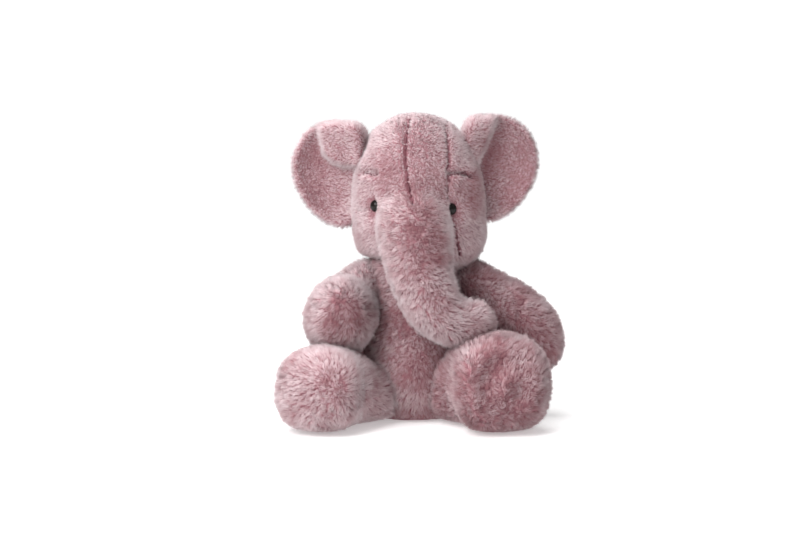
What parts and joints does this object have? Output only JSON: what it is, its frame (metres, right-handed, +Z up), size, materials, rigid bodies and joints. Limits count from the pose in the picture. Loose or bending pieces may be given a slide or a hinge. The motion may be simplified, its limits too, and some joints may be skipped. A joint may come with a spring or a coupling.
{
  "type": "stuffed toy elephant",
  "caption": "Sitting plush elephant with a round head, curled trunk, round ears, stuffed arms and legs, bead eyes and a short tail.",
  "frame": {"origin": "on the floor, at the middle of the flat seat", "axes": "+Z up, the face looks along -Y, the elephant's own left is +X"},
  "size_m": [0.1978, 0.1677, 0.226],
  "materials": {
    "plush": "dusty pink deep-pile plush, 7 mm pile",
    "fibre": "loose white polyester fibre",
    "pouch_cloth": "plain woven cotton",
    "pellet_plastic": "matte pellets",
    "eye_bead": "polished black",
    "washer_plastic": "matte white",
    "thread": "twisted sewing thread",
    "ribbon": "blank woven ribbon"
  },
  "bodies": {
    "torso": {"torso_front": "plush", "torso_back_left": "plush", "torso_back_right": "plush", "seat_panel": "plush", "torso_filling": "fibre", "pellet_pouch": "pouch_cloth", "pellets": "pellet_plastic", "closing_stitches": "thread", "care_label": "ribbon"},
    "neck": {"neck_filling": "fibre"},
    "head": {"head_side_left": "plush", "head_side_right": "plush", "forehead_left": "plush", "forehead_right": "plush", "head_filling": "fibre", "eye_left": "eye_bead", "eye_right": "eye_bead", "eye_washer_left": "washer_plastic", "eye_washer_right": "washer_plastic", "brow_stitch_left": "thread", "brow_stitch_right": "thread"},
    "trunk": {"trunk_front": "plush", "trunk_back": "plush", "trunk_tip": "plush", "trunk_filling": "fibre"},
    "ear_left": {"ear_left_front": "plush", "ear_left_back": "plush"},
    "ear_right": {"ear_right_front": "plush", "ear_right_back": "plush"},
    "arm_left": {"arm_left_outer": "plush", "arm_left_inner": "plush", "arm_left_filling": "fibre"},
    "arm_right": {"arm_right_outer": "plush", "arm_right_inner": "plush", "arm_right_filling": "fibre"},
    "leg_left": {"leg_left_upper": "plush", "leg_left_under": "plush", "foot_left_sole": "plush", "leg_left_filling": "fibre"},
    "leg_right": {"leg_right_upper": "plush", "leg_right_under": "plush", "foot_right_sole": "plush", "leg_right_filling": "fibre"},
    "tail": {"tail_skin": "plush", "tail_filling": "fibre"}
  },
  "joints": [
    {"name": "neck_turn", "type": "hinge", "parent": "torso", "child": "neck", "pos_m": [0, 0, 0.11], "axis": [0, 0, 1], "range_deg": [-20, 20], "stiffness_Nm_per_rad": 0.2},
    {"name": "head_nod", "type": "hinge", "parent": "neck", "child": "head", "pos_m": [0, 0, 0.1295], "axis": [1, 0, 0], "range_deg": [-12, 3], "stiffness_Nm_per_rad": 1},
    {"name": "trunk_lift", "type": "hinge", "parent": "head", "child": "trunk", "pos_m": [-0.00253, -0.03617, 0.15008], "axis": [-0.9976, 0.0698, 0], "range_deg": [0, 30]},
    {"name": "ear_left_fold", "type": "hinge", "parent": "head", "child": "ear_left", "pos_m": [0.04461, 0.0049, 0.19], "axis": [0, 0, -1], "range_deg": [-20, 20], "stiffness_Nm_per_rad": 0.02},
    {"name": "ear_right_fold", "type": "hinge", "parent": "head", "child": "ear_right", "pos_m": [-0.0435, 0.01106, 0.19], "axis": [0, 0, 1], "range_deg": [-20, 20], "stiffness_Nm_per_rad": 0.02},
    {"name": "arm_left_raise", "type": "hinge", "parent": "torso", "child": "arm_left", "pos_m": [0.0383, -0.003, 0.102], "axis": [0, -1, 0], "range_deg": [0, 35]},
    {"name": "arm_right_raise", "type": "hinge", "parent": "torso", "child": "arm_right", "pos_m": [-0.0393, -0.003, 0.102], "axis": [-1, 0, 0], "range_deg": [0, 40]},
    {"name": "leg_left_splay", "type": "hinge", "parent": "torso", "child": "leg_left", "pos_m": [0.0303, -0.0314, 0.03], "axis": [0, 0, 1], "range_deg": [-4, 18]},
    {"name": "leg_right_splay", "type": "hinge", "parent": "torso", "child": "leg_right", "pos_m": [-0.0334, -0.0281, 0.03], "axis": [0, 0, -1], "range_deg": [-4, 18]},
    {"name": "tail_wag", "type": "hinge", "parent": "torso", "child": "tail", "pos_m": [0, 0.0395, 0.03], "axis": [0, 0, 1], "range_deg": [-25, 25], "stiffness_Nm_per_rad": 0.002}
  ]
}
